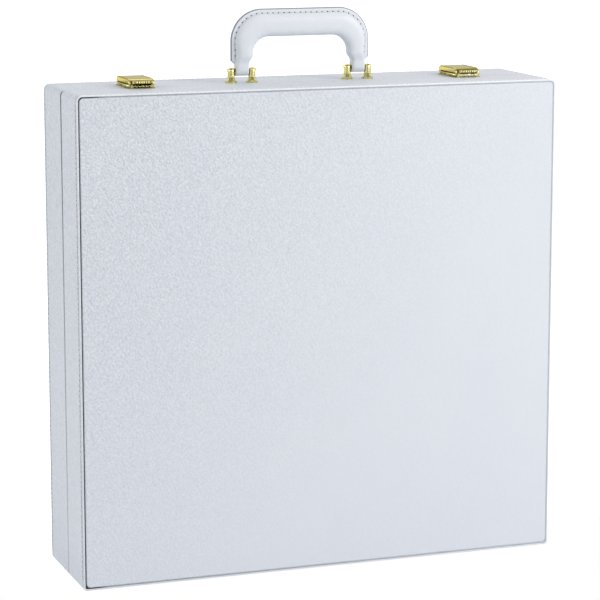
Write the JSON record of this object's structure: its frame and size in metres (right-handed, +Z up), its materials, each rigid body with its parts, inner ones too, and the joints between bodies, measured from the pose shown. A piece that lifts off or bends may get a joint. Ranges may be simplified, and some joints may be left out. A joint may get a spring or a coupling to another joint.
{
  "type": "chess piece storage box",
  "caption": "Leatherette-covered attache-style case with a hinged lid, snap latches and a folding handle, divided inside to hold chess pieces.",
  "frame": {"origin": "centre of the footprint on the surface that the case stands on, hinge edge down and handle up", "axes": "+X to the right of the case seen from the lid side, +Y towards the back shell, +Z up towards the handle"},
  "size_m": [0.45, 0.114, 0.5035],
  "materials": {
    "white_leatherette": "fine pebble grain, satin",
    "handle_leatherette": "smooth satin",
    "wood_board": "sawn and sanded",
    "velvet_lining": "short velvet pile",
    "polished_brass": "polished",
    "spring_steel": "brushed"
  },
  "bodies": {
    "base": {"base_wrap": "white_leatherette", "base_bottom_strip": "white_leatherette", "base_top_board": "wood_board", "base_bottom_board": "wood_board", "base_side_boards": "wood_board", "base_face_board": "wood_board", "base_face_panel": "white_leatherette", "base_wall_lining": "velvet_lining", "tray_floor_pad": "velvet_lining", "tray_cross_dividers": "velvet_lining", "tray_tall_piece_dividers": "velvet_lining", "tray_pawn_dividers": "velvet_lining", "base_hinge_leaf": "polished_brass", "hinge_pin": "spring_steel", "base_hinge_screws": "polished_brass", "handle_posts": "polished_brass", "handle_pins": "polished_brass", "handle_post_washers": "spring_steel", "handle_post_screws": "spring_steel", "latch_hinge_pins": "polished_brass", "latch_springs": "spring_steel", "latch_spring_rivets": "polished_brass", "latch_base_screws": "polished_brass", "latch_bases": "polished_brass"},
    "lid": {"lid_wrap": "white_leatherette", "lid_bottom_strip": "white_leatherette", "lid_top_board": "wood_board", "lid_bottom_board": "wood_board", "lid_side_boards": "wood_board", "lid_face_board": "wood_board", "lid_face_panel": "white_leatherette", "lid_wall_lining": "velvet_lining", "lid_battens": "wood_board", "lid_pad_board": "wood_board", "lid_pad": "velvet_lining", "lid_hinge_leaf": "polished_brass", "lid_hinge_screws": "polished_brass", "latch_keeper_screws": "polished_brass", "latch_keepers": "polished_brass"},
    "handle": {"handle_core": "spring_steel", "handle_front_half": "handle_leatherette", "handle_back_half": "handle_leatherette", "handle_bushes": "polished_brass"},
    "latch_left": {"latch_hasp_left": "polished_brass"},
    "latch_right": {"latch_hasp_right": "polished_brass"}
  },
  "joints": [
    {"name": "lid_hinge", "type": "hinge", "parent": "base", "child": "lid", "pos_m": [0, -0.004, 0.0024], "axis": [1, 0, 0], "range_deg": [0, 110]},
    {"name": "handle_pivot", "type": "hinge", "parent": "base", "child": "handle", "pos_m": [0, 0.0064, 0.4495], "axis": [1, 0, 0], "range_deg": [-86, 86]},
    {"name": "latch_left_pivot", "type": "hinge", "parent": "base", "child": "latch_left", "pos_m": [-0.155, 0.0205, 0.4427], "axis": [-1, 0, 0], "range_deg": [0, 75]},
    {"name": "latch_right_pivot", "type": "hinge", "parent": "base", "child": "latch_right", "pos_m": [0.155, 0.0205, 0.4427], "axis": [-1, 0, 0], "range_deg": [0, 75]}
  ]
}
